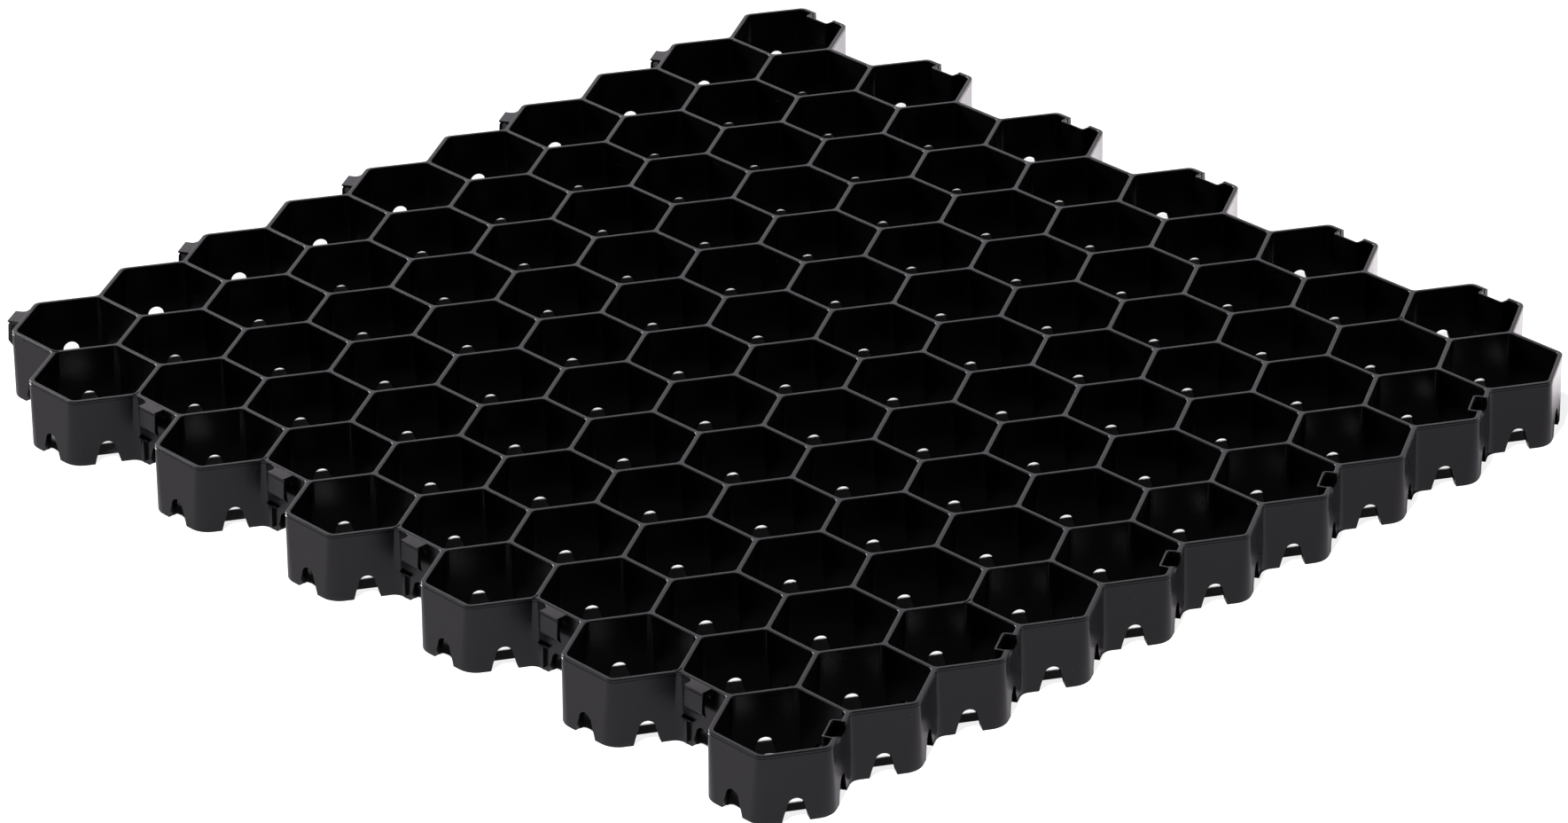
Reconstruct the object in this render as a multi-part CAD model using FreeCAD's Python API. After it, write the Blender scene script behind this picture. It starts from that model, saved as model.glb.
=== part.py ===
import FreeCAD, Part
import math
import os

os.makedirs("parts", exist_ok=True)

# A honeycomb ground grid, moulded in one piece, with hooks along two sides and
# matching pockets along the other two. Millimetres, +Z up, standing on z = 0.
# Driving sizes of the honeycomb
cell_pitch = 60.0             # from flat to flat, wall centre to wall centre
columns = 12                  # rows of cells along X
cells_in_column = 10          # cells along Y in each column
grid_height = 38.0
rim_thickness = 2.4           # wall thickness at the top
wall_draft = 0.9              # how far each face leans out between rim and base
rim_corner_radius = 3.0       # outer corners at the top
base_corner_radius = 8.0      # the same corners at the base
corner_flats = 3              # flats that round each of those corners

# Drain arches at the foot of every wall
arch_base_width = 14.0
arch_crown_width = 8.8
arch_height = 13.0
arch_shoulder_height = 8.8
arch_crown_flat = 4.4

# Hooks that reach over the neighbour's wall, each with a barb near its end
hook_width = 12.6
hook_below_rim = 2.4
hook_length = 13.3
hook_plate = 1.6              # thickness over the neighbour's rim
hook_leg = 1.4                # thickness of the part that hangs down
hook_chamfer = 0.6
hook_barb = 2.3
hook_barb_start = 6.6         # below the hook's top
hook_barb_edge = 10.0

# Ledge on the wall under each hook, carried by a rib; both start left of the arch
ledge_proud = 2.6
ledge_top = 17.8
ledge_edge_top = 15.2
ledge_edge_height = 1.2
ledge_length = 14.0           # from the wall's left end, seen from outside
rib_from_end = 6.1
rib_width = 2.1
rib_foot = 2.0

# Pockets that take the neighbour's hooks
hook_play = 0.15              # between a hook's faces and what they slide along
hook_side_play = 1.4
panel_play = 0.2              # between the bases of two joined panels
pocket_wall = 1.0
pocket_arm = 1.3
pocket_height = 23.0
pocket_chamfer = 1.0

cell_side = cell_pitch / math.sqrt(3)
column_pitch = 1.5 * cell_side
base_thickness = rim_thickness + 2 * wall_draft
centre_x = (columns - 1) * column_pitch / 2
centre_y = (cells_in_column - 1.5) * cell_pitch / 2

up = FreeCAD.Vector(0, 0, 1)


def half_thickness(z):
    """Half of a wall's thickness at height z, by its draft."""
    return rim_thickness / 2 + wall_draft * (grid_height - z) / grid_height


# The hook's leg clears the neighbour's wall, which is thickest beside the leg's end
joined_wall_distance = base_thickness + panel_play
hook_top = grid_height - hook_below_rim
hook_bottom = hook_top - hook_length
hook_reach = joined_wall_distance + half_thickness(hook_bottom) + hook_play + hook_leg
pocket_reach = hook_reach + hook_barb + hook_play - joined_wall_distance
pocket_width = hook_width + 2 * hook_side_play
slot_depth = hook_below_rim + hook_plate + 4 * hook_play
ledge_reach = half_thickness(ledge_edge_top) + ledge_proud


def cell_centre(column, row):
    """Centre of a cell; every second column is set back by half a cell."""
    x = column * column_pitch - centre_x
    y = (row - 0.5 * (column % 2)) * cell_pitch - centre_y
    return FreeCAD.Vector(x, y, 0)


def cell_corner(column, row, degrees):
    """Corner of a cell on the wall centre lines."""
    angle = math.radians(degrees)
    return cell_centre(column, row) + FreeCAD.Vector(math.cos(angle), math.sin(angle), 0) * cell_side


def outline_corners():
    """Corners of the whole panel along the wall centre lines, anticlockwise."""
    last_column = columns - 1
    last_row = cells_in_column - 1
    corners = []
    for column in range(columns):
        corners.append(cell_corner(column, 0, 240))
        corners.append(cell_corner(column, 0, 300))
    for row in range(cells_in_column):
        corners.append(cell_corner(last_column, row, 0))
        corners.append(cell_corner(last_column, row, 60))
    for column in reversed(range(columns)):
        if column < last_column:
            corners.append(cell_corner(column, last_row, 60))
        corners.append(cell_corner(column, last_row, 120))
    for row in reversed(range(cells_in_column)):
        if row < last_row:
            corners.append(cell_corner(0, row, 120))
        corners.append(cell_corner(0, row, 180))
    return corners


def rounded_outline(z, corner_radius):
    """Points of the panel's outer face at height z, its convex corners rounded by flats."""
    corners = outline_corners()
    points = []
    for i in range(len(corners)):
        corner = corners[i]
        coming = (corner - corners[i - 1]).normalize()
        going = (corners[(i + 1) % len(corners)] - corner).normalize()
        normal = coming.cross(up)
        bisector = (normal + going.cross(up)) * (1 / (1 + coming.dot(going)))
        point = corner + bisector * half_thickness(z) + up * z
        if coming.cross(going).z > 0:
            centre = point - bisector * corner_radius
            for step in range(corner_flats + 1):
                turn = FreeCAD.Rotation(up, 60 * step / corner_flats)
                points.append(centre + turn.multVec(normal) * corner_radius)
        else:
            points.append(point)
    return points


def solid_between(lower, upper):
    """Solid between two closed outlines with as many points each."""
    rings = [lower, upper]
    for i in range(len(lower)):
        rings.append([lower[i - 1], lower[i], upper[i], upper[i - 1]])
    faces = [Part.Face(Part.makePolygon(ring + ring[:1])) for ring in rings]
    return Part.Solid(Part.Shell(faces))


def panel_block():
    """The solid that the whole honeycomb is cut from, wider at the base."""
    base = rounded_outline(0, base_corner_radius)
    top = rounded_outline(grid_height, rim_corner_radius)
    return solid_between(base, top)


def cell_cutter(column, row):
    """The hollow of one cell, narrower at the base, past both faces."""
    margin = 1.0
    outlines = []
    for z in (-margin, grid_height + margin):
        side = (cell_pitch / 2 - half_thickness(z)) / math.cos(math.radians(30))
        corners = []
        for i in range(6):
            angle = math.radians(60 * i)
            corner = FreeCAD.Vector(side * math.cos(angle), side * math.sin(angle), z)
            corners.append(cell_centre(column, row) + corner)
        outlines.append(corners)
    return solid_between(*outlines)


def on_wall(shape, column, row, degrees):
    """Move a shape onto a wall: its X along the wall, its Y out of the cell."""
    angle = math.radians(degrees)
    outward = FreeCAD.Vector(math.cos(angle), math.sin(angle), 0)
    place = cell_centre(column, row) + outward * (cell_pitch / 2)
    moved = shape.copy()
    moved.Placement = FreeCAD.Placement(place, FreeCAD.Rotation(up, degrees - 90))
    return moved


def wall_profile(points, length, along):
    """A prism from a closed outline, carried symmetrically along a direction."""
    face = Part.Face(Part.makePolygon(points + points[:1]))
    face.translate(along * (-length / 2))
    return face.extrude(along * length)


def arch_cutter():
    """Drain arch with flared legs and a crown of three flats."""
    outline = [
        (arch_base_width / 2, 0),
        (arch_crown_width / 2, arch_shoulder_height),
        (arch_crown_flat / 2, arch_height),
    ]
    outline = outline + [(-x, z) for x, z in reversed(outline)]
    flare = (arch_base_width - arch_crown_width) / 2 / arch_shoulder_height
    below = 1.0
    outline[0] = (arch_base_width / 2 + flare * below, -below)
    outline[-1] = (-arch_base_width / 2 - flare * below, -below)
    points = [FreeCAD.Vector(x, 0, z) for x, z in outline]
    return wall_profile(points, 2 * base_thickness, FreeCAD.Vector(0, 1, 0))


def hook():
    """Hook out of a wall, down behind the neighbour's wall, barbed and tapered to its end."""
    outline = [
        (0, hook_top),
        (hook_reach - hook_chamfer, hook_top),
        (hook_reach, hook_top - hook_chamfer),
        (hook_reach, hook_top - hook_barb_start),
        (hook_reach + hook_barb, hook_top - hook_barb_edge),
        (hook_reach - hook_leg / 2, hook_bottom),
        (hook_reach - hook_leg, hook_bottom + hook_leg),
        (hook_reach - hook_leg, hook_top - hook_plate),
        (0, hook_top - hook_plate),
    ]
    points = [FreeCAD.Vector(0, y, z) for y, z in outline]
    return wall_profile(points, hook_width, FreeCAD.Vector(1, 0, 0))


def ledge():
    """Sloped ledge on the outer face, from the wall's left end, and the rib that carries it."""
    left_end = cell_side / 2
    edge_bottom = ledge_edge_top - ledge_edge_height
    outline = [
        (0, edge_bottom),
        (ledge_reach, edge_bottom),
        (ledge_reach, ledge_edge_top),
        (half_thickness(ledge_top), ledge_top),
        (0, ledge_top),
    ]
    points = [FreeCAD.Vector(left_end - ledge_length / 2, y, z) for y, z in outline]
    shelf = wall_profile(points, ledge_length, FreeCAD.Vector(1, 0, 0))
    corner = FreeCAD.Vector(left_end - rib_from_end - rib_width, 0, rib_foot)
    rib = Part.makeBox(rib_width, ledge_reach, edge_bottom + ledge_edge_height / 2 - rib_foot, corner)
    return shelf.fuse(rib)


def pocket():
    """Thin pocket on the cell side of a wall, open above and below."""
    bottom = grid_height - pocket_height
    depth = pocket_reach + pocket_wall
    outline = [
        (0, bottom),
        (0, grid_height),
        (pocket_chamfer - depth, grid_height),
        (-depth, grid_height - pocket_chamfer),
        (-depth, bottom),
    ]
    points = [FreeCAD.Vector(0, y, z) for y, z in outline]
    block = wall_profile(points, pocket_width + 2 * pocket_arm, FreeCAD.Vector(1, 0, 0))
    corner = FreeCAD.Vector(-pocket_width / 2, -pocket_reach, bottom - 1)
    hollow = Part.makeBox(pocket_width, pocket_reach + 1, pocket_height + 2, corner)
    return block.cut(hollow)


def slot_cutter():
    """Shallow slot down from the rim, where the hook passes over the wall."""
    corner = FreeCAD.Vector(-pocket_width / 2, -pocket_reach / 2, grid_height - slot_depth)
    return Part.makeBox(pocket_width, pocket_reach / 2 + base_thickness, slot_depth + 1, corner)


def every_wall():
    """Each wall once, as column, row and outward direction."""
    walls = []
    for column in range(columns):
        for row in range(cells_in_column):
            walls.append((column, row, 30))
            walls.append((column, row, 90))
            walls.append((column, row, 150))
            if row == 0:
                walls.append((column, row, 270))
            if column == 0 or (row == 0 and column % 2 == 1):
                walls.append((column, row, 210))
            if column == columns - 1 or (row == 0 and column % 2 == 1):
                walls.append((column, row, 330))
    return walls


hook_walls = [(0, row, 210) for row in range(0, cells_in_column, 2)]
hook_walls += [(column, 0, 270) for column in range(2, columns, 2)]
pocket_walls = [(columns - 1, row, 30) for row in range(0, cells_in_column, 2)]
pocket_walls += [(column, cells_in_column - 1, 90) for column in range(0, columns, 2)]

cells = [cell_cutter(column, row) for column in range(columns) for row in range(cells_in_column)]
grid = panel_block().cut(cells)

arch = arch_cutter()
grid = grid.cut([on_wall(arch, *wall) for wall in every_wall()])

added = [on_wall(shape, *wall) for shape in (hook(), ledge()) for wall in hook_walls]
added += [on_wall(pocket(), *wall) for wall in pocket_walls]
grid = grid.fuse(added)
grid = grid.cut([on_wall(slot_cutter(), *wall) for wall in pocket_walls])
grid = grid.removeSplitter()

# The hooks reach past the cells on one side, so the panel is centred by its whole size
box = grid.optimalBoundingBox()
grid.translate(FreeCAD.Vector(-box.Center.x, -box.Center.y, 0))

print("solids", len(grid.Solids), "valid", grid.isValid(), "faces", len(grid.Faces))
print("volume cm3", round(grid.Volume / 1000, 1), "box", box)
grid.Solids[0].exportStep("parts/paver_grid.step")
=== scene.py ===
import math

import bmesh
import bpy
from mathutils import Matrix, Quaternion, Vector


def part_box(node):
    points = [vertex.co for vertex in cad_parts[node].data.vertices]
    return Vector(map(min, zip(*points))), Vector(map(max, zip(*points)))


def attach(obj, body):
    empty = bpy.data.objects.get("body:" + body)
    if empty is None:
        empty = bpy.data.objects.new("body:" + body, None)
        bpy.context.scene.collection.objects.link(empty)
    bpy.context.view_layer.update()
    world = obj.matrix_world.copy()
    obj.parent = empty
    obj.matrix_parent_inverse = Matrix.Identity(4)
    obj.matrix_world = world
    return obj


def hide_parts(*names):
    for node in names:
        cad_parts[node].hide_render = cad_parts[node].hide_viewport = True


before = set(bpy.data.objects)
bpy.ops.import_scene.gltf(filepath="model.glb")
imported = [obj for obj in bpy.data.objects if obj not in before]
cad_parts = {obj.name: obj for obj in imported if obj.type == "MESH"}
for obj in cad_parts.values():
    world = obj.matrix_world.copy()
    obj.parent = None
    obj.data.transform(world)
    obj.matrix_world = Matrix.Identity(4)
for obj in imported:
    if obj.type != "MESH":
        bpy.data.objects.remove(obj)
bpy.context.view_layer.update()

# The honeycomb: twelve columns of ten cells, every second column set back by half a cell.
# One injection moulding in black polyolefin. Its walls thicken towards the ground, so it
# leaves the mould, and each wall has an arch at its foot for water and roots.
cell_pitch = 60.0
cell_side = cell_pitch / math.sqrt(3)
columns = 12
cells_in_column = 10
panel_height = 38.0
rim_half = 1.2
wall_draft = 0.9
rim_round = 0.45
rim_round_half_way = 0.29 * rim_round

inner_corner = 4.0
outer_corner_top = 5.0
outer_corner_foot = 12.0
re_entrant_top = 3.0
re_entrant_foot = 6.5
inner_corner_steps = 5
outer_corner_steps = 8
re_entrant_steps = 6
corner_turn = 60

arch_foot = 7.0
arch_crown = 4.4
arch_height = 13.0
arch_steps = 12
arch_leg_bow = 0.15

crease_top = 36.9
crease_foot = 36.45
crease_depth = 0.22
crease_slope = 0.12

slot_half = 7.7
slot_sill = 33.4

# The lattice of the walls' middle planes, placed so that its rounded +X corners end where the
# panel's box does
millimetres = 1000
rounded_corner_reach = 1.067
lattice_half_x = (columns - 1) * 1.5 * cell_side / 2
lattice_half_y = (cells_in_column - 1.5) * cell_pitch / 2
outermost_corner = lattice_half_x + cell_side + rounded_corner_reach
lattice_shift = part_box("paver_grid")[1].x * millimetres - outermost_corner

shell = bmesh.new()


def half_thickness(z):
    """Half of a wall's thickness at height z."""
    return rim_half + wall_draft * (panel_height - z) / panel_height


def turned(direction, degrees):
    """A flat direction turned to the left."""
    angle = math.radians(degrees)
    x = direction.x * math.cos(angle) - direction.y * math.sin(angle)
    y = direction.x * math.sin(angle) + direction.y * math.cos(angle)
    return Vector((x, y, 0))


def cell_centre(column, row):
    """Centre of a cell, in millimetres."""
    x = column * 1.5 * cell_side - lattice_half_x + lattice_shift
    y = (row - 0.5 * (column % 2)) * cell_pitch - lattice_half_y
    return Vector((x, y, 0))


def wall_ends(column, row, degrees):
    """The two lattice corners of a cell's wall, in the direction with the cell on the left."""
    centre = cell_centre(column, row)
    side = Vector((cell_side, 0, 0))
    return centre + turned(side, degrees - 30), centre + turned(side, degrees + 30)


def corner_name(point, coarse=5):
    """A name for a lattice corner, the same from each of its cells."""
    return round(point.x / coarse), round(point.y / coarse)


def add_face(*corners):
    """One face of the moulding, from points in millimetres, anticlockwise seen from outside."""
    shell.faces.new([shell.verts.new(corner) for corner in corners])


def at_height(point, z):
    """The same place on the plan, at height z."""
    return Vector((point.x, point.y, z))


all_cells = [(column, row) for column in range(columns) for row in range(cells_in_column)]
corner_place = {}
follows = {}
for column, row in all_cells:
    for degrees in range(30, 390, 60):
        start, end = wall_ends(column, row, degrees)
        corner_place[corner_name(start)] = start
        follows[corner_name(start), corner_name(end)] = (column, row)
outer_walls = [wall for wall in follows if (wall[1], wall[0]) not in follows]
for start, end in outer_walls:
    follows[end, start] = "outside"

slotted = set()
for column, row, degrees in (
    [(columns - 1, row, 30) for row in range(0, cells_in_column, 2)]
    + [(column, cells_in_column - 1, 90) for column in range(0, columns, 2)]
):
    start, end = wall_ends(column, row, degrees)
    slotted.add((corner_name(start), corner_name(end)))
    slotted.add((corner_name(end), corner_name(start)))

# Near the rim a wall has these levels: the height of each, and how far the face has come in.
# Outside, a shallow crease runs below the rim.
rim_levels = [
    (panel_height - rim_round, 0),
    (panel_height - rim_round_half_way, rim_round_half_way),
    (panel_height, rim_round),
]
outside_levels = [
    (crease_foot - crease_slope, 0),
    (crease_foot, crease_depth),
    (crease_top - crease_slope, crease_depth),
    (crease_top, 0),
] + rim_levels


def corner_arc(came_from, corner, goes_to, z, inset=0.0):
    """The rounded corner between two walls, as points in the order of the face's outline."""
    place = corner_place[corner]
    coming = (place - corner_place[came_from]).normalized()
    going = (corner_place[goes_to] - place).normalized()
    left_in = turned(coming, 90)
    left_out = turned(going, 90)
    spread = (left_in + left_out) / (1 + left_in.dot(left_out))
    meeting = place + spread * (half_thickness(z) - inset)
    low = (panel_height - z) / panel_height
    outside = follows[came_from, corner] == "outside"
    if coming.cross(going).z < 0:
        radius = outer_corner_top + (outer_corner_foot - outer_corner_top) * low - inset
        centre = meeting - spread * radius
        turns = [-corner_turn * i / outer_corner_steps for i in range(outer_corner_steps + 1)]
        return [at_height(centre + turned(left_in, turn) * radius, z) for turn in turns]
    radius = inner_corner + inset
    steps = inner_corner_steps
    if outside:
        radius = re_entrant_top + (re_entrant_foot - re_entrant_top) * low + inset
        steps = re_entrant_steps
    centre = meeting + spread * radius
    turns = [corner_turn * i / steps for i in range(steps + 1)]
    return [at_height(centre - turned(left_in, turn) * radius, z) for turn in turns]


def arch_outline():
    """The arch as distances along the wall and heights: flared legs and a round crown."""
    spring = arch_height - arch_crown
    half = [(-arch_foot, 0.0), (-(arch_foot + arch_crown) / 2 - arch_leg_bow, spring / 2)]
    crown = []
    for i in range(arch_steps + 1):
        angle = math.pi * (1 - i / arch_steps)
        crown.append((arch_crown * math.cos(angle), spring + arch_crown * math.sin(angle)))
    return half + crown + [(-x, z) for x, z in reversed(half)]


arch = arch_outline()
outgoing = {}
for start, end in follows:
    outgoing.setdefault(start, []).append(end)


def next_corner(start, end):
    """The corner after this wall, going round the same cell or round the outside."""
    arriving = (corner_place[end] - corner_place[start]).normalized()
    best = None
    for candidate in outgoing[end]:
        if candidate == start or follows[end, candidate] != follows[start, end]:
            continue
        leaving = (corner_place[candidate] - corner_place[end]).normalized()
        turn = arriving.cross(leaving).z
        if best is None or turn > best[0]:
            best = (turn, candidate)
    return best[1]


onward = {(start, end): next_corner(start, end) for start, end in follows}
backward = {(end, after): start for (start, end), after in onward.items()}


def on_face(start, end, x, z, inset=0.0):
    """A point on a wall's left face, x along the wall from its middle."""
    a = corner_place[start]
    b = corner_place[end]
    along = (b - a).normalized()
    return at_height((a + b) / 2 + along * x + turned(along, 90) * (half_thickness(z) - inset), z)


for start, end in follows:
    levels = outside_levels if follows[start, end] == "outside" else rim_levels
    before = backward[start, end]
    after = onward[start, end]
    top = levels[0][0]
    cut = (start, end) in slotted

    # The flat face with its arch, and with the top of the slot where a pocket stands behind it
    first_foot = corner_arc(before, start, end, 0)[-1]
    last_foot = corner_arc(start, end, after, 0)[0]
    first_top = corner_arc(before, start, end, top)[-1]
    last_top = corner_arc(start, end, after, top)[0]
    outline = [first_foot] + [on_face(start, end, x, z) for x, z in arch] + [last_foot, last_top]
    if cut:
        outline.append(on_face(start, end, slot_half, top))
        outline.append(on_face(start, end, slot_half, slot_sill))
        outline.append(on_face(start, end, -slot_half, slot_sill))
        outline.append(on_face(start, end, -slot_half, top))
    outline.append(first_top)
    add_face(*reversed(outline))

    # The rounded rim along the wall, and outside the crease below it
    for (low, low_inset), (high, high_inset) in zip(levels, levels[1:]):
        row_low = [corner_arc(before, start, end, low, low_inset)[-1]]
        row_high = [corner_arc(before, start, end, high, high_inset)[-1]]
        if cut:
            for x in (-slot_half, slot_half):
                row_low.append(on_face(start, end, x, low, low_inset))
                row_high.append(on_face(start, end, x, high, high_inset))
        row_low.append(corner_arc(start, end, after, low, low_inset)[0])
        row_high.append(corner_arc(start, end, after, high, high_inset)[0])
        for i in range(0, len(row_low), 2):
            add_face(row_low[i], row_high[i], row_high[i + 1], row_low[i + 1])

    # The rounded corner at the wall's far end, from the ground to the rim
    heights = [(0, 0)] + levels
    arcs = [corner_arc(start, end, after, z, inset) for z, inset in heights]
    for low_arc, high_arc in zip(arcs, arcs[1:]):
        for i in range(len(low_arc) - 1):
            add_face(low_arc[i], high_arc[i], high_arc[i + 1], low_arc[i + 1])

for start, end in follows:
    if start > end:
        continue
    # The arch's tunnel through the wall
    near = [on_face(start, end, x, z) for x, z in arch]
    far = [on_face(end, start, -x, z) for x, z in arch]
    for i in range(len(arch) - 1):
        add_face(near[i], near[i + 1], far[i + 1], far[i])

    # The flat top of the rim
    near_levels = outside_levels if follows[start, end] == "outside" else rim_levels
    far_levels = outside_levels if follows[end, start] == "outside" else rim_levels
    near_row = [corner_arc(backward[start, end], start, end, panel_height, rim_round)[-1]]
    far_row = [corner_arc(end, start, onward[end, start], panel_height, rim_round)[0]]
    if (start, end) in slotted:
        for x in (-slot_half, slot_half):
            near_row.append(on_face(start, end, x, panel_height, rim_round))
            far_row.append(on_face(end, start, -x, panel_height, rim_round))
    near_row.append(corner_arc(start, end, onward[start, end], panel_height, rim_round)[0])
    far_row.append(corner_arc(backward[end, start], end, start, panel_height, rim_round)[-1])
    for i in range(0, len(near_row), 2):
        add_face(far_row[i], far_row[i + 1], near_row[i + 1], near_row[i])

    # The sill and the two cheeks of a pocket's slot
    if (start, end) in slotted:
        sill = [on_face(start, end, x, slot_sill) for x in (-slot_half, slot_half)]
        sill += [on_face(end, start, x, slot_sill) for x in (-slot_half, slot_half)]
        add_face(sill[3], sill[2], sill[1], sill[0])
        for x in (-slot_half, slot_half):
            cheek = [on_face(start, end, x, slot_sill)]
            cheek += [on_face(start, end, x, z, inset) for z, inset in near_levels]
            cheek += [on_face(end, start, -x, z, inset) for z, inset in reversed(far_levels)]
            cheek.append(on_face(end, start, -x, slot_sill))
            add_face(*(cheek if x < 0 else reversed(cheek)))

for corner, neighbours in outgoing.items():
    # Round each lattice corner: the flat top of the junction, and its foot on the ground
    rim = []
    foot = []
    came_from = neighbours[0]
    for _ in neighbours:
        goes_to = onward[came_from, corner]
        rim += corner_arc(came_from, corner, goes_to, panel_height, rim_round)
        foot += corner_arc(came_from, corner, goes_to, 0)
        foot.append(on_face(corner, goes_to, -arch_foot, 0))
        foot.append(on_face(goes_to, corner, arch_foot, 0))
        came_from = goes_to
    add_face(*reversed(rim))
    add_face(*foot)

bmesh.ops.remove_doubles(shell, verts=shell.verts, dist=0.002)

# Ejector pins leave a shallow pit in the rim at some junctions. Of the faces that look up,
# only the junctions' tops have more than twelve corners.
pit_rim = 0.42
pit_slope = 0.15
pit_depth = 0.4
pit_places = [wall_ends(column, 0, 270)[0] for column in range(2, columns, 2)]
pit_places += [wall_ends(0, 0, 270)[1], wall_ends(10, 2, 30)[0], wall_ends(10, 8, 90)[1]]
pit_corners = [at_height(place, panel_height) for place in pit_places]
pit_reach = 2
junction_tops = [face for face in shell.faces if face.normal.z > 0.9 and len(face.verts) > 12]
pits = [
    face for face in junction_tops
    if any((face.calc_center_median() - corner).length < pit_reach for corner in pit_corners)
]
bmesh.ops.inset_individual(shell, faces=pits, thickness=pit_rim, depth=0)
bmesh.ops.inset_individual(shell, faces=pits, thickness=pit_slope, depth=-pit_depth)

# Ten hooks on two sides, moulded with the walls, which drop into the next panel's pockets. A
# plate leaves the wall at the rim and turns down into a leg with a lip and a barb. A ledge and
# a rib stand on the wall under each.
hook_half = 6.3
hook_top = 37.85
hook_plate = 1.5
hook_leg = 1.5
leg_face = 7.52
lip_reach = 0.35
lip_height = 0.75
groove_depth = 0.55
groove_top = hook_top - 1.0
groove_foot = hook_top - 1.75
leg_top = hook_top - 2.1
barb_reach = 0.5
barb_edge = 26.4
nose_reach = 0.2
nose_edge = 25.7
barb_slant = 2.1
barb_foot = 22.9
barb_heel = 0.9
heel_height = 23.6
shank_swell = 0.3
shank_foot = 27.0
crook_gap = 0.1
crook_radius = 1.0
inside_wall = 0.5


def wall_place(column, row, degrees):
    """Where a wall's own axes lie: X along it, Y out of the cell, Z up."""
    centre = cell_centre(column, row) + turned(Vector((cell_pitch / 2, 0, 0)), degrees)
    return Matrix.Translation(centre) @ Matrix.Rotation(math.radians(degrees - 90), 4, "Z")


def add_prism(form, outline, direction, start, end):
    """A prism in a form, from an outline that goes round its direction."""
    low = [form.verts.new(point + direction * start) for point in outline]
    high = [form.verts.new(point + direction * end) for point in outline]
    form.faces.new(reversed(low))
    form.faces.new(high)
    for i in range(len(outline)):
        form.faces.new((low[i - 1], low[i], high[i], high[i - 1]))


def soften(form, width, sharp_from=25):
    """Round a form's sharp edges a little, as a mould leaves them."""
    bmesh.ops.recalc_face_normals(form, faces=form.faces)
    edges = [edge for edge in form.edges if edge.calc_face_angle(0) > math.radians(sharp_from)]
    bmesh.ops.bevel(
        form, geom=edges, offset=width, segments=2, profile=0.5, affect="EDGES", clamp_overlap=True,
    )


def add_form(form, places):
    """Put copies of a form on the panel."""
    form.verts.index_update()
    for place in places:
        corners = [shell.verts.new(place @ vertex.co) for vertex in form.verts]
        for face in form.faces:
            shell.faces.new([corners[vertex.index] for vertex in face.verts])


def add_to_hooks(profile, start, end, softness):
    """A form along every hook's wall, from its profile as distances out of the wall and heights."""
    form = bmesh.new()
    outline = [Vector((0, y, z)) for y, z in profile]
    add_prism(form, outline, Vector((1, 0, 0)), start, end)
    soften(form, softness)
    add_form(form, hook_places)
    form.free()


hook_places = [wall_place(0, row, 210) for row in range(0, cells_in_column, 2)]
hook_places += [wall_place(column, 0, 270) for column in range(2, columns, 2)]

plate_foot = hook_top - hook_plate
leg_back = leg_face - hook_leg
hook = [
    (inside_wall, plate_foot),
    (leg_back - crook_radius, plate_foot),
    (leg_back - crook_gap, plate_foot - crook_radius),
    (leg_back - shank_swell, shank_foot),
    (leg_back - barb_heel, heel_height),
    (leg_face - barb_slant, barb_foot),
    (leg_face + nose_reach, nose_edge),
    (leg_face + barb_reach, barb_edge),
    (leg_face, leg_top),
    (leg_face - groove_depth, groove_foot),
    (leg_face - groove_depth, groove_top),
    (leg_face + lip_reach, hook_top - lip_height),
    (leg_face + lip_reach, hook_top),
    (inside_wall, hook_top),
]
add_to_hooks(hook, -hook_half, hook_half, softness=0.22)

# A round fillet where the plate leaves the wall, on its right
fillet_radius = 3.2
fillet_reach = 4.6
fillet_steps = 6
fillet_overlap = 0.4
fillet_gap = 0.05
fillet_sunk = 0.02
fillet_left = hook_half - fillet_overlap
outline = [Vector((fillet_left, inside_wall, 0)), Vector((fillet_left, fillet_reach, 0))]
for i in range(fillet_steps + 1):
    angle = math.radians(90 * i / fillet_steps)
    x = hook_half + fillet_radius - fillet_radius * math.cos(angle) - fillet_gap
    outline.append(Vector((x, fillet_reach - fillet_radius * math.sin(angle), 0)))
outline.append(Vector((hook_half + fillet_radius, inside_wall, 0)))
fillet = bmesh.new()
add_prism(fillet, outline, Vector((0, 0, 1)), plate_foot + fillet_sunk, hook_top - fillet_sunk)
soften(fillet, width=0.12)
add_form(fillet, hook_places)
fillet.free()

# A thin gusset under the plate's left end
gusset_top = hook_top - 1
gusset_foot = 31.8
gusset_reach = 3.4
gusset_bend = (3.0, 34.6)
gusset_heel = (1.9, 32.4)
gusset_left = -hook_half + 0.1
gusset_right = -hook_half + 1.0
gusset = [
    (inside_wall, gusset_top),
    (gusset_reach, gusset_top),
    gusset_bend,
    gusset_heel,
    (inside_wall, gusset_foot),
]
add_to_hooks(gusset, gusset_left, gusset_right, softness=0.15)

# The ledge, and the rib that runs down from it to the ground
wall_end = cell_side / 2
ledge_left = wall_end - 11.5
ledge_right = wall_end - 4
ledge_foot = 14.1
ledge_edge_foot = 14.4
ledge_edge_top = 15.0
ledge_top = 16.5
ledge_reach = 3.5
ledge_shoulder = (1.6, 16.4)
ledge = [
    (inside_wall, ledge_foot),
    (ledge_reach, ledge_edge_foot),
    (ledge_reach, ledge_edge_top),
    ledge_shoulder,
    (inside_wall, ledge_top),
]
add_to_hooks(ledge, ledge_left, ledge_right, softness=0.2)

rib_left = wall_end - 8.2
rib_right = wall_end - 6.1
rib_foot = 2.0
rib_top = 14.8
rib_reach = 3.8
rib = [(inside_wall, rib_foot), (rib_reach, rib_foot), (rib_reach, rib_top), (inside_wall, rib_top)]
add_to_hooks(rib, rib_left, rib_right, softness=0.2)

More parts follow.
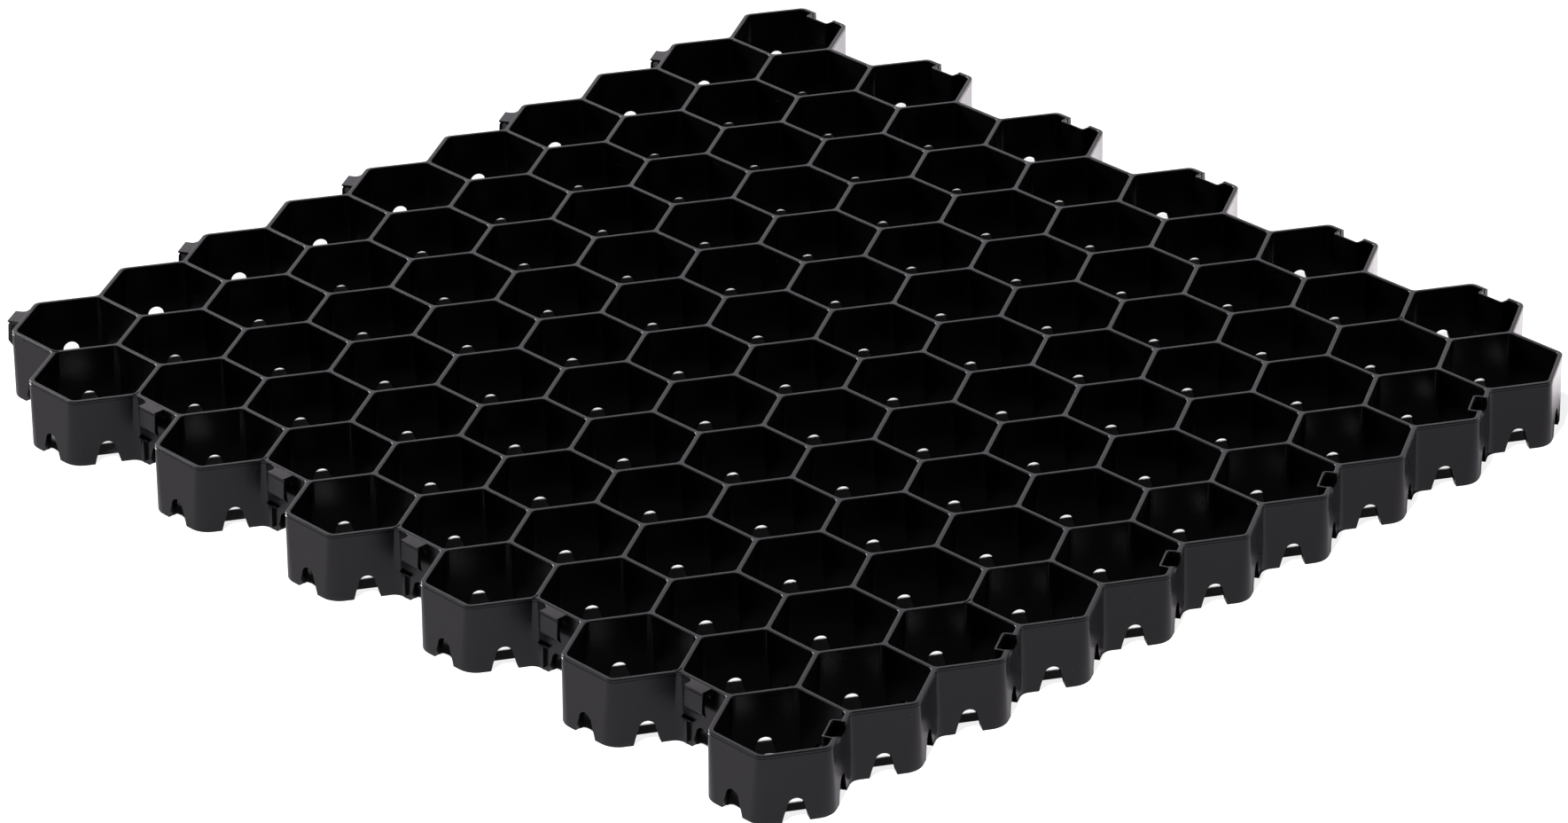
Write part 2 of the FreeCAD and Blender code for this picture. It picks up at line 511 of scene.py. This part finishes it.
# Eleven pockets on the other two sides, moulded with the walls: thin-walled boxes inside the
# wall, open above and below, in line with a shallow slot in the rim where the neighbour's hook
# comes in.
pocket_foot = 15.0
pocket_top = panel_height - 0.05
pocket_depth = 5.45
pocket_wall = 1.0
pocket_arm = 1.25
pocket_back = pocket_depth + pocket_wall
outer_half = slot_half + pocket_arm
pocket_root = 0.6
outer_flare = 0.8
arm_lean = 0.15
arm_start = 2.6
outer_round = 1.6
outer_round_middle = (0.5, 0.45)
inner_flare = 0.6
inner_start = 2.8
inner_round = 0.9
inner_round_middle = 0.25

pocket = bmesh.new()
outline = [
    (-outer_half - outer_flare, -pocket_root),
    (-outer_half - arm_lean, -arm_start),
    (-outer_half, -pocket_back + outer_round),
    (-outer_half + outer_round_middle[0], -pocket_back + outer_round_middle[1]),
    (-outer_half + outer_round, -pocket_back),
]
outline += [(-x, y) for x, y in reversed(outline)]
inside = [
    (-slot_half - inner_flare, -pocket_root),
    (-slot_half, -inner_start),
    (-slot_half, -pocket_depth + inner_round),
    (-slot_half + inner_round_middle, -pocket_depth + inner_round_middle),
    (-slot_half + inner_round, -pocket_depth),
]
inside += [(-x, y) for x, y in reversed(inside)]
rows = {}
for name, points in (("outer", outline), ("inner", inside)):
    rows[name] = [[pocket.verts.new((x, y, z)) for x, y in points] for z in (pocket_foot, pocket_top)]
for i in range(len(outline) - 1):
    low, high = rows["outer"]
    pocket.faces.new((low[i], low[i + 1], high[i + 1], high[i]))
    low_in, high_in = rows["inner"]
    pocket.faces.new((low_in[i + 1], low_in[i], high_in[i], high_in[i + 1]))
    pocket.faces.new((high[i], high[i + 1], high_in[i + 1], high_in[i]))
    pocket.faces.new((low[i + 1], low[i], low_in[i], low_in[i + 1]))
for i, order in ((0, 1), (-1, -1)):
    ends = [rows["outer"][0][i], rows["outer"][1][i], rows["inner"][1][i], rows["inner"][0][i]]
    pocket.faces.new(ends[::order])
soften(pocket, width=0.25, sharp_from=50)
pocket_places = [wall_place(columns - 1, row, 30) for row in range(0, cells_in_column, 2)]
pocket_places += [wall_place(column, cells_in_column - 1, 90) for column in range(0, columns, 2)]
add_form(pocket, pocket_places)
pocket.free()

# The finished moulding: satin black plastic, straight from the tool, with the faint flow,
# fine scratches and dull specks that handling leaves.
metres = 1 / millimetres
crisp_from = 48
for vertex in shell.verts:
    vertex.co = vertex.co * metres
for face in shell.faces:
    face.smooth = True
for edge in shell.edges:
    edge.smooth = edge.calc_face_angle(0) < math.radians(crisp_from)
grid_mesh = bpy.data.meshes.new("paver_grid_moulding")
shell.to_mesh(grid_mesh)
shell.free()
grid = bpy.data.objects.new("paver_grid_moulding", grid_mesh)
bpy.context.scene.collection.objects.link(grid)
normals = grid.modifiers.new("flat faces stay flat", "WEIGHTED_NORMAL")
normals.keep_sharp = True
normals.weight = 80


def shader_group(name, inputs, outputs):
    """An empty node group with its named numbers in and masks out."""
    group = bpy.data.node_groups.new(name, "ShaderNodeTree")
    for label, value in inputs.items():
        socket = group.interface.new_socket(label, in_out="INPUT", socket_type="NodeSocketFloat")
        socket.default_value = value
    for label in outputs:
        group.interface.new_socket(label, in_out="OUTPUT", socket_type="NodeSocketFloat")
    return group, group.nodes.new("NodeGroupInput"), group.nodes.new("NodeGroupOutput")


def add_node(tree, kind, settings=None, **inputs):
    """A node with its settings, and with each input linked or given its value.

    An input is named with _ for each space, or by its number, as in _0.
    """
    node = tree.nodes.new(kind)
    for setting, value in (settings or {}).items():
        setattr(node, setting, value)
    for label, value in inputs.items():
        key = int(label[1:]) if label[1:].isdigit() else label.replace("_", " ")
        socket = node.inputs[key]
        if isinstance(value, bpy.types.NodeSocket):
            tree.links.new(value, socket)
        else:
            socket.default_value = value
    return node


def span(tree, value, low, high, to_low=0.0, to_high=1.0):
    """A value's place between two limits, smoothed."""
    node = add_node(
        tree, "ShaderNodeMapRange", {"interpolation_type": "SMOOTHSTEP"},
        Value=value, From_Min=low, From_Max=high, To_Min=to_low, To_Max=to_high,
    )
    return node.outputs["Result"]


def combine(tree, operation, first, second):
    """Two masks or numbers put together."""
    return add_node(tree, "ShaderNodeMath", {"operation": operation}, _0=first, _1=second).outputs[0]


# Fine grain of the tool's surface, and broad dull and shiny streaks where the melt flowed
flow_group, given, result = shader_group(
    "moulded_surface", {"Grain Scale": 4200.0, "Flow Scale": 26.0}, ("Grain", "Flow"),
)
place = add_node(flow_group, "ShaderNodeTexCoord").outputs["Object"]
grain = add_node(
    flow_group, "ShaderNodeTexNoise", Vector=place, Scale=given.outputs["Grain Scale"], Detail=2.0,
)
drawn = add_node(flow_group, "ShaderNodeMapping", Vector=place, Scale=(1.0, 1.0, 0.3))
streaks = add_node(
    flow_group, "ShaderNodeTexNoise",
    Vector=drawn.outputs[0], Scale=given.outputs["Flow Scale"], Detail=4.0, Distortion=0.7,
)
flow_group.links.new(grain.outputs["Fac"], result.inputs["Grain"])
flow_group.links.new(span(flow_group, streaks.outputs["Fac"], 0.3, 0.7), result.inputs["Flow"])

# Short fine scratches and small pale specks from stacking and handling
marks_group, given, result = shader_group(
    "handling_marks", {"Scratch Width": 0.006, "Speck Size": 0.07}, ("Scratches", "Specks"),
)
place = add_node(marks_group, "ShaderNodeTexCoord").outputs["Object"]
long_and_thin = (3.0, 220.0, 220.0)
patches_in_a_metre = 38.0
unmarked_below = 0.63
scratched_above = 0.7
spots_in_a_metre = 230.0
spots_left_out = 0.9
scratches = None
for tilt, turn in ((0.5, 0.3), (-0.7, 1.4), (0.2, 2.3)):
    slant = add_node(
        marks_group, "ShaderNodeMapping", Vector=place, Rotation=(tilt, 0.4, turn), Scale=long_and_thin,
    )
    lines = add_node(
        marks_group, "ShaderNodeTexNoise", Vector=slant.outputs[0], Scale=1.0, Detail=0.0,
    )
    off_line = combine(marks_group, "SUBTRACT", lines.outputs["Fac"], 0.5)
    off_line = combine(marks_group, "ABSOLUTE", off_line, 0.0)
    line = combine(marks_group, "LESS_THAN", off_line, given.outputs["Scratch Width"])
    moved = add_node(marks_group, "ShaderNodeMapping", Vector=place, Location=(turn, tilt, 1.0))
    patch = add_node(
        marks_group, "ShaderNodeTexNoise", Vector=moved.outputs[0], Scale=patches_in_a_metre, Detail=2.0,
    )
    handled = span(marks_group, patch.outputs["Fac"], unmarked_below, scratched_above)
    line = combine(marks_group, "MULTIPLY", line, handled)
    scratches = line if scratches is None else combine(marks_group, "MAXIMUM", scratches, line)
spots = add_node(marks_group, "ShaderNodeTexVoronoi", Vector=place, Scale=spots_in_a_metre)
chance = add_node(marks_group, "ShaderNodeSeparateColor", Color=spots.outputs["Color"])
small = combine(marks_group, "LESS_THAN", spots.outputs["Distance"], given.outputs["Speck Size"])
chosen = combine(marks_group, "GREATER_THAN", chance.outputs[0], spots_left_out)
specks = combine(marks_group, "MULTIPLY", small, chosen)
marks_group.links.new(scratches, result.inputs["Scratches"])
marks_group.links.new(specks, result.inputs["Specks"])

# Where the panel is touched: its rims are rubbed, and its feet have picked up dust
wear_group, given, result = shader_group(
    "rim_and_foot_wear", {"Rim Starts": 0.0372, "Foot Ends": 0.0035}, ("Rim Wear", "Foot Dust"),
)
place = add_node(wear_group, "ShaderNodeTexCoord").outputs["Object"]
height = add_node(wear_group, "ShaderNodeSeparateXYZ", Vector=place).outputs["Z"]
least_rubbed = 0.35
blotches = add_node(wear_group, "ShaderNodeTexNoise", Vector=place, Scale=90.0, Detail=4.0)
rubbed = span(wear_group, blotches.outputs["Fac"], 0.35, 0.7, least_rubbed, 1.0)
dusty = span(wear_group, blotches.outputs["Fac"], 0.4, 0.65)
rim = span(wear_group, height, given.outputs["Rim Starts"], panel_height * metres)
rim = combine(wear_group, "MULTIPLY", rim, rubbed)
foot = span(wear_group, height, given.outputs["Foot Ends"], 0.0)
foot = combine(wear_group, "MULTIPLY", foot, dusty)
wear_group.links.new(rim, result.inputs["Rim Wear"])
wear_group.links.new(foot, result.inputs["Foot Dust"])

plastic = bpy.data.materials.new("satin_black_plastic")
plastic.use_nodes = True
tree = plastic.node_tree
shader = tree.nodes["Principled BSDF"]
surface = add_node(tree, "ShaderNodeGroup", {"node_tree": flow_group})
marks = add_node(tree, "ShaderNodeGroup", {"node_tree": marks_group})
wear = add_node(tree, "ShaderNodeGroup", {"node_tree": wear_group})

deepest_black = (0.0020, 0.0019, 0.0022, 1)
flow_black = (0.0030, 0.0029, 0.0033, 1)
rubbed_grey = (0.085, 0.083, 0.086, 1)
shiniest = 0.22
dullest = 0.29
rubbed_dullness = 0.35
paleness = 0.0
for mask, share in (
    (marks.outputs["Scratches"], 0.22),
    (marks.outputs["Specks"], 0.9),
    (wear.outputs["Rim Wear"], 0.16),
    (wear.outputs["Foot Dust"], 0.22),
):
    paleness = combine(tree, "MAXIMUM", paleness, combine(tree, "MULTIPLY", mask, share))
deep = add_node(
    tree, "ShaderNodeMix", {"data_type": "RGBA"},
    _0=surface.outputs["Flow"], _6=deepest_black, _7=flow_black,
)
tone = add_node(
    tree, "ShaderNodeMix", {"data_type": "RGBA"}, _0=paleness, _6=deep.outputs["Result"], _7=rubbed_grey,
)
tree.links.new(tone.outputs["Result"], shader.inputs["Base Color"])

sheen = span(tree, surface.outputs["Flow"], 0.0, 1.0, shiniest, dullest)
sheen = combine(tree, "ADD", sheen, combine(tree, "MULTIPLY", paleness, rubbed_dullness))
tree.links.new(sheen, shader.inputs["Roughness"])

relief = combine(tree, "SUBTRACT", surface.outputs["Grain"], marks.outputs["Scratches"])
bump = add_node(tree, "ShaderNodeBump", Height=relief, Strength=0.12, Distance=0.00003)
tree.links.new(bump.outputs["Normal"], shader.inputs["Normal"])
grid_mesh.materials.append(plastic)
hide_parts("paver_grid")
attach(grid, "root")

# The studio: a pale paper floor, lit by a lamp of its own and white to the camera round the
# panel. Between the walls the paper is painted darker, a painted shade: dim to the camera, nearly
# black in what the plastic mirrors, and without the glow. The glow reaches in under the outer
# walls, in millimetres, by the way that each wall faces; under the walls that face 330° it
# reaches 8 mm, a painted light that makes the floor in their arches white instead of shaded.
# Painted light: under the walls that face 330° the glow reaches 8 mm in and makes the floor in their
# arches white instead of shaded
painted_glow_reach = {30: 1.0, 90: 1.0, 150: 1.0, 210: 1.0, 270: 1.0, 330: 8.0}
floor_half = 6

outside_walls = [wall for wall in follows if follows[wall] == "outside"]
came_from, corner = outside_walls[0]
outline = []
for _ in outside_walls:
    goes_to = onward[came_from, corner]
    offsets = []
    for a, b in ((came_from, corner), (corner, goes_to)):
        outward = turned((corner_place[b] - corner_place[a]).normalized(), 90)
        faces = round(math.degrees(math.atan2(outward.y, outward.x))) % 360
        offsets.append((outward, -painted_glow_reach[faces]))
    # The outline's corner lies where the two walls' lines meet, each moved by its offset
    (first, first_offset), (second, second_offset) = offsets
    skew = first.dot(second)
    shift = first * (first_offset - second_offset * skew) + second * (second_offset - first_offset * skew)
    outline.append((corner_place[corner] + shift / (1 - skew * skew)) * metres)
    came_from, corner = corner, goes_to

floor_corners = [
    Vector((x * floor_half, y * floor_half, 0)) for x, y in ((-1, -1), (1, -1), (1, 1), (-1, 1))
]
floor_shape = bmesh.new()
loops = []
for points in (outline, floor_corners):
    corners = [floor_shape.verts.new(point) for point in points]
    loops.append(corners)
    for i in range(len(corners)):
        floor_shape.edges.new((corners[i - 1], corners[i]))
bmesh.ops.triangle_fill(floor_shape, edges=floor_shape.edges, use_beauty=True)
# The face inside the panel's outline takes the second paper, the painted shade between the walls
painted_shade_face = floor_shape.faces.new(loops[0])
painted_shade_face.material_index = 1
for face in floor_shape.faces:
    if face.normal.z < 0:
        face.normal_flip()
floor_mesh = bpy.data.meshes.new("floor")
floor_shape.to_mesh(floor_mesh)
floor_shape.free()
floor = bpy.data.objects.new("floor", floor_mesh)
bpy.context.scene.collection.objects.link(floor)

# Each paper has a glow and a tone for the camera, and duller tones for what the plastic
# mirrors, painted in: one in front of the panel and beside it, a painted shade, and one behind
# it, a painted light on the pale floor and a painted shade between the walls
papers = (
    ("pale_floor", 0.85, 0.9, 0.12, 0.5),
    # The paper between the walls is darker, a painted shade: dim to the camera and nearly black in
    # reflections
    ("floor_between_walls_painted_shade", 0, 0.22, 0.01, 0.01),
)
front_tint = (1, 0.95, 1.03)
behind_tint = (1, 0.95, 0.98)
behind_starts = 0.28
behind_is_full = 0.34
for name, glow_share, seen, front_painted_shade, behind_painted_light_and_shade in papers:
    paper = bpy.data.materials.new(name)
    paper.use_nodes = True
    tree = paper.node_tree
    paper_shader = tree.nodes["Principled BSDF"]
    paper_shader.inputs["Roughness"].default_value = 0.9
    paper_shader.inputs["Specular IOR Level"].default_value = 0
    rays = add_node(tree, "ShaderNodeLightPath")
    place = add_node(tree, "ShaderNodeTexCoord").outputs["Object"]
    depth = add_node(tree, "ShaderNodeSeparateXYZ", Vector=place).outputs["Y"]
    # Painted reflection: the paper that the plastic mirrors is painted dark in front of the panel, a
    # painted shade, and lighter behind it, a painted light
    painted_mirrored_tone = add_node(
        tree, "ShaderNodeMix", {"data_type": "RGBA"}, _0=span(tree, depth, behind_starts, behind_is_full),
        _6=[front_painted_shade * part for part in front_tint] + [1], _7=[behind_painted_light_and_shade * part for part in behind_tint] + [1],
    )
    tone = add_node(
        tree, "ShaderNodeMix", {"data_type": "RGBA"}, _0=rays.outputs["Is Camera Ray"],
        _6=painted_mirrored_tone.outputs["Result"], _7=(seen, seen, seen, 1),
    )
    tree.links.new(tone.outputs["Result"], paper_shader.inputs["Base Color"])
    if glow_share:
        glow = add_node(tree, "ShaderNodeEmission")
        share = combine(tree, "MULTIPLY", rays.outputs["Is Camera Ray"], glow_share)
        glowing = add_node(
            tree, "ShaderNodeMixShader", _0=share, _1=paper_shader.outputs[0], _2=glow.outputs[0],
        )
        tree.links.new(glowing.outputs[0], tree.nodes["Material Output"].inputs[0])
    floor_mesh.materials.append(paper)

# The room: a pale band round the horizon, brightest behind the panel and dim on the camera's
# side, with a dark ceiling. The camera sees plain white.
band_colour = (0.96, 0.91, 0.99, 1)
band_edge = 0.5
ceiling_colour = (0.02, 0.02, 0.02, 1)
ceiling_edge = 0.58
dim_side = 0.2
bright_side = 1.15
world = bpy.data.worlds.new("studio")
bpy.context.scene.world = world
world.use_nodes = True
tree = world.node_tree
around = add_node(tree, "ShaderNodeTexCoord").outputs["Generated"]
towards_back = (-0.7, 0.7, 0)
height = add_node(tree, "ShaderNodeSeparateXYZ", Vector=around).outputs["Z"]
ramp = add_node(tree, "ShaderNodeValToRGB", _0=height)
ramp.color_ramp.elements[0].position = band_edge
ramp.color_ramp.elements[0].color = band_colour
ramp.color_ramp.elements[1].position = ceiling_edge
ramp.color_ramp.elements[1].color = ceiling_colour
facing_back = add_node(
    tree, "ShaderNodeVectorMath", {"operation": "DOT_PRODUCT"}, _0=around, _1=towards_back,
)
lit_side = span(tree, facing_back.outputs["Value"], -0.5, 0.35, dim_side, bright_side)
ring = add_node(
    tree, "ShaderNodeVectorMath", {"operation": "SCALE"}, _0=ramp.outputs[0], Scale=lit_side,
)
rays = add_node(tree, "ShaderNodeLightPath")
room = add_node(
    tree, "ShaderNodeMix", {"data_type": "RGBA"}, _0=rays.outputs["Is Camera Ray"],
    _6=ring.outputs["Vector"], _7=(1, 1, 1, 1),
)
tree.links.new(room.outputs["Result"], tree.nodes["Background"].inputs["Color"])

# Two lamps: a hard one for the floor alone, and a softbox at the left for the plastic
floor_only = bpy.data.collections.new("lit_by_the_floor_lamp")
floor_only.objects.link(floor)
for name, azimuth, elevation, distance, size, power in (
    ("floor_lamp", 300, 59.3, 4.0, 0.16, 800),
    ("left_softbox", 182, 28, 3.0, 0.9, 95),
):
    lamp = bpy.data.lights.new(name, "AREA")
    lamp.size = size
    lamp.energy = power
    lamp_object = bpy.data.objects.new(name, lamp)
    flat = math.cos(math.radians(elevation)) * distance
    lamp_object.location = (
        flat * math.cos(math.radians(azimuth)),
        flat * math.sin(math.radians(azimuth)),
        math.sin(math.radians(elevation)) * distance,
    )
    if name == "floor_lamp":
        lamp_object.light_linking.receiver_collection = floor_only
    lamp_object.rotation_mode = "QUATERNION"
    lamp_object.rotation_quaternion = lamp_object.location.to_track_quat("Z", "Y")
    bpy.context.scene.collection.objects.link(lamp_object)

bpy.context.scene.view_settings.view_transform = "Standard"

# The camera stands where the photograph was taken from
camera_data = bpy.data.cameras.new("camera")
camera_data.sensor_width = 36
camera_data.lens = 153.0
camera_data.clip_end = 50
camera = bpy.data.objects.new("camera", camera_data)
camera.location = (2.27656 + lattice_shift * metres, -2.23558, 1.66397)
camera.rotation_mode = "QUATERNION"
camera.rotation_quaternion = Quaternion((0.789444, 0.477258, 0.201403, 0.329303))
bpy.context.scene.collection.objects.link(camera)
bpy.context.scene.camera = camera
